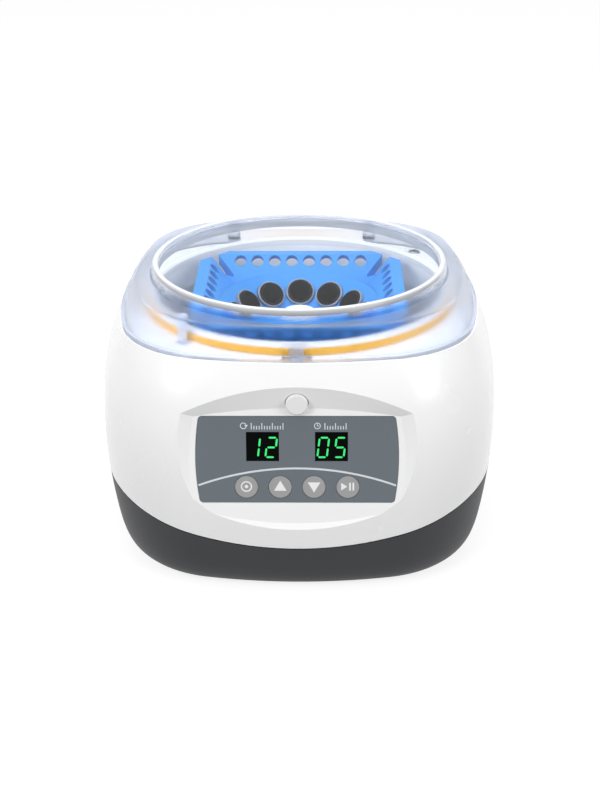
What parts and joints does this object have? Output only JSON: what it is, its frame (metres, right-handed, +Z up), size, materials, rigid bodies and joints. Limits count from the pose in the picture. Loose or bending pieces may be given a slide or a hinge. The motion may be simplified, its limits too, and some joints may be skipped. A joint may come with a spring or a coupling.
{
  "type": "microcentrifuge",
  "caption": "Bench microcentrifuge with a hinged clear lid, a square combination rotor in a round chamber, a front key panel and a push-button lid release.",
  "frame": {"origin": "on the table under the four feet, midway across and midway deep, on the rotor's spin axis", "axes": "+Z up along the spin axis, +X to the right of someone facing the key panel, -Y the front with the panel, +Y the back with the lid hinge"},
  "size_m": [0.196, 0.1916, 0.136],
  "materials": {
    "housing_white": "glossy moulded",
    "base_dark": "fine moulded grain",
    "rubber_black": "matt",
    "steel": "plain zinc",
    "bowl_grey": "smooth moulded",
    "gasket_amber": "smooth silicone",
    "motor_steel": "plated can",
    "magnet_dark": "sintered",
    "bearing_steel": "ground",
    "spring_steel": "drawn wire",
    "switch_black": "moulded",
    "panel_slate": "printed film",
    "display_black": "lens",
    "board_green": "solder mask",
    "transformer_yellow": "wound",
    "capacitor_blue": "sleeved",
    "pin_brass": "plated",
    "lid_clear": "clear moulded",
    "hook_white": "moulded",
    "hub_aluminium": "turned",
    "rotor_blue": "moulded",
    "sleeve_black": "moulded",
    "collar_grey": "moulded",
    "nut_white": "moulded",
    "button_white": "moulded",
    "key_grey": "printed film",
    "rocker_black": "moulded"
  },
  "bodies": {
    "base": {"top_shell": "housing_white", "base_shell": "base_dark", "rubber_feet": "rubber_black", "housing_screws": "steel", "chamber_bowl": "bowl_grey", "chamber_gasket": "gasket_amber", "motor_dampers": "rubber_black", "motor_plate": "steel", "damper_screws": "steel", "motor_screws": "steel", "motor_housing": "motor_steel", "motor_magnets": "magnet_dark", "motor_bearings": "bearing_steel", "hinge_pin": "steel", "deck_screw": "steel", "latch_bracket": "steel", "latch_spring": "spring_steel", "lid_switch": "switch_black", "key_panel": "panel_slate", "speed_display": "display_black", "time_display": "display_black", "display_board": "board_green", "key_switches": "switch_black", "display_screws": "steel", "bracket_screws": "steel", "control_board": "board_green", "power_board": "board_green", "control_chips": "switch_black", "power_transformer": "transformer_yellow", "capacitors": "capacitor_blue", "power_inlet": "switch_black", "inlet_pins": "pin_brass", "switch_frame": "switch_black"},
    "lid": {"lid": "lid_clear", "lid_hook": "hook_white", "interlock_pin": "lid_clear"},
    "rotor": {"drive_shaft": "steel", "motor_armature": "magnet_dark", "rotor_adapter": "hub_aluminium", "rotor": "rotor_blue", "tube_sleeves": "sleeve_black", "sleeve_collars": "collar_grey", "rotor_nut": "nut_white"},
    "latch": {"latch_slider": "hook_white", "release_button": "button_white"},
    "set_key": {"set_key": "key_grey"},
    "up_key": {"up_key": "key_grey"},
    "down_key": {"down_key": "key_grey"},
    "start_stop_key": {"start_stop_key": "key_grey"},
    "power_rocker": {"power_rocker": "rocker_black"}
  },
  "joints": [
    {"name": "lid_hinge", "type": "hinge", "parent": "base", "child": "lid", "pos_m": [0, 0.0886, 0.1156], "axis": [-1, 0, 0], "range_deg": [0, 95]},
    {"name": "rotor_spin", "type": "hinge", "parent": "base", "child": "rotor", "pos_m": [0, 0, 0.08], "axis": [0, 0, 1], "continuous": true},
    {"name": "release_press", "type": "slide", "parent": "base", "child": "latch", "axis": [0, 1, 0], "range_m": [0, 0.0024], "stiffness_N_per_m": 500, "springref_m": -0.001, "deforming": ["latch_spring"]},
    {"name": "set_key_press", "type": "slide", "parent": "base", "child": "set_key", "axis": [0, 0.9874, -0.1582], "range_m": [0, 0.0004], "stiffness_N_per_m": 1500, "springref_m": -0.0001},
    {"name": "up_key_press", "type": "slide", "parent": "base", "child": "up_key", "axis": [0, 0.9874, -0.1582], "range_m": [0, 0.0004], "stiffness_N_per_m": 1500, "springref_m": -0.0001},
    {"name": "down_key_press", "type": "slide", "parent": "base", "child": "down_key", "axis": [0, 0.9874, -0.1582], "range_m": [0, 0.0004], "stiffness_N_per_m": 1500, "springref_m": -0.0001},
    {"name": "start_stop_key_press", "type": "slide", "parent": "base", "child": "start_stop_key", "axis": [0, 0.9874, -0.1582], "range_m": [0, 0.0004], "stiffness_N_per_m": 1500, "springref_m": -0.0001},
    {"name": "power_switch", "type": "hinge", "parent": "base", "child": "power_rocker", "pos_m": [0.022, 0.0926, 0.049], "axis": [1, 0, 0], "range_deg": [0, 16]}
  ]
}
